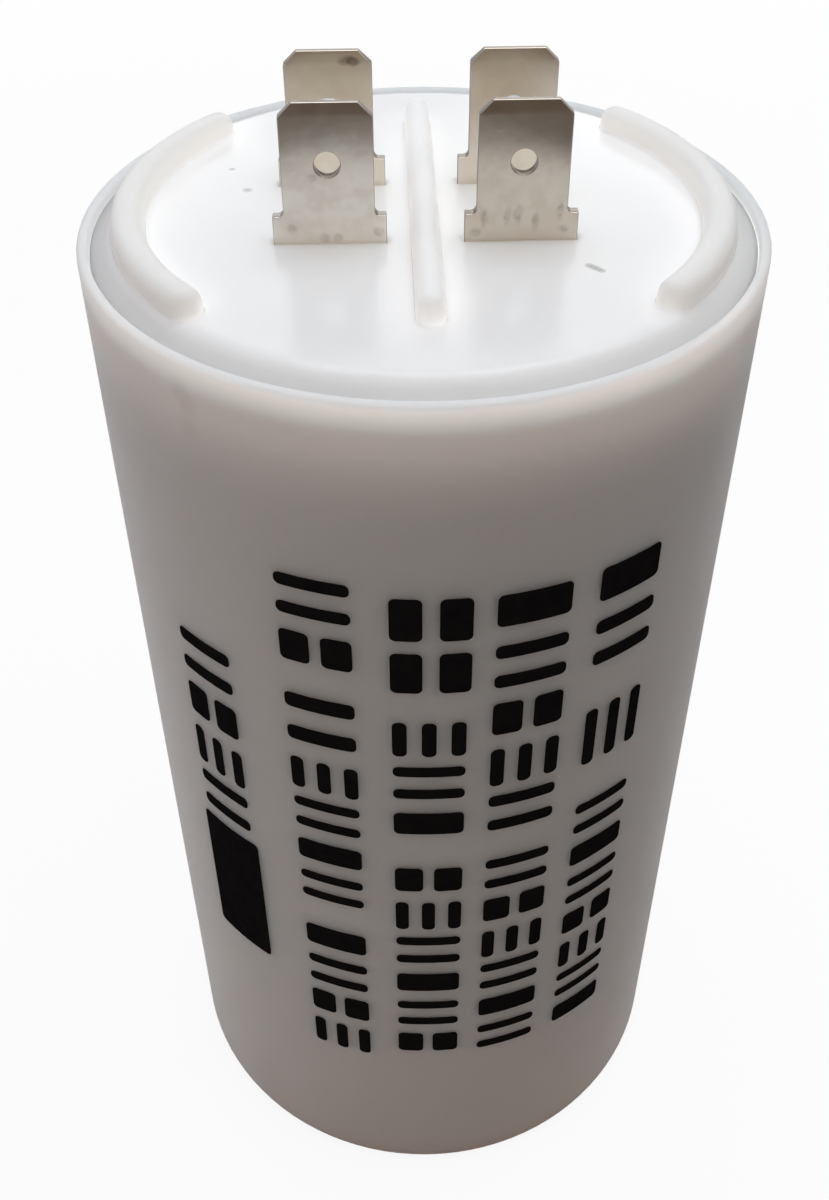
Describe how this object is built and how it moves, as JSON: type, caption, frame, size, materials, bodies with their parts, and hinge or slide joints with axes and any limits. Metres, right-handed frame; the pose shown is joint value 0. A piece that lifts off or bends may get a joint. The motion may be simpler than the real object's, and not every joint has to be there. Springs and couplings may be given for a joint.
{
  "type": "motor capacitor",
  "caption": "Round film capacitor for an electric motor, in a white plastic case, with paired push-on tabs and a dividing rib on its lid.",
  "frame": {"origin": "centre of the case foot, on the surface that the capacitor stands on", "axes": "+Z along the case axis towards the tabs, Y along the dividing rib of the lid, X across the two terminals"},
  "size_m": [0.05, 0.05, 0.1044],
  "materials": {
    "case_plastic": "satin",
    "lid_plastic": "gloss",
    "tinned_strip": "dull tin plate",
    "wound_film": "gloss",
    "core_plastic": "matte",
    "wrap_film": "gloss",
    "sprayed_metal": "rough",
    "lead_wire": "bright",
    "sleeve_blue": "satin",
    "sleeve_red": "satin",
    "solder": "bright",
    "resin": "gloss",
    "print_ink": "matte"
  },
  "bodies": {
    "root": {"case": "case_plastic", "lid": "lid_plastic", "terminal_left": "tinned_strip", "terminal_right": "tinned_strip", "film_winding": "wound_film", "winding_core": "core_plastic", "outer_wrap": "wrap_film", "end_spray_top": "sprayed_metal", "end_spray_bottom": "sprayed_metal", "lead_left": "lead_wire", "lead_right": "lead_wire", "sleeve_left": "sleeve_blue", "sleeve_right": "sleeve_red", "solder_left_tab": "solder", "solder_right_tab": "solder", "solder_top_spray": "solder", "solder_bottom_spray": "solder", "potting_resin": "resin"}
  },
  "joints": []
}
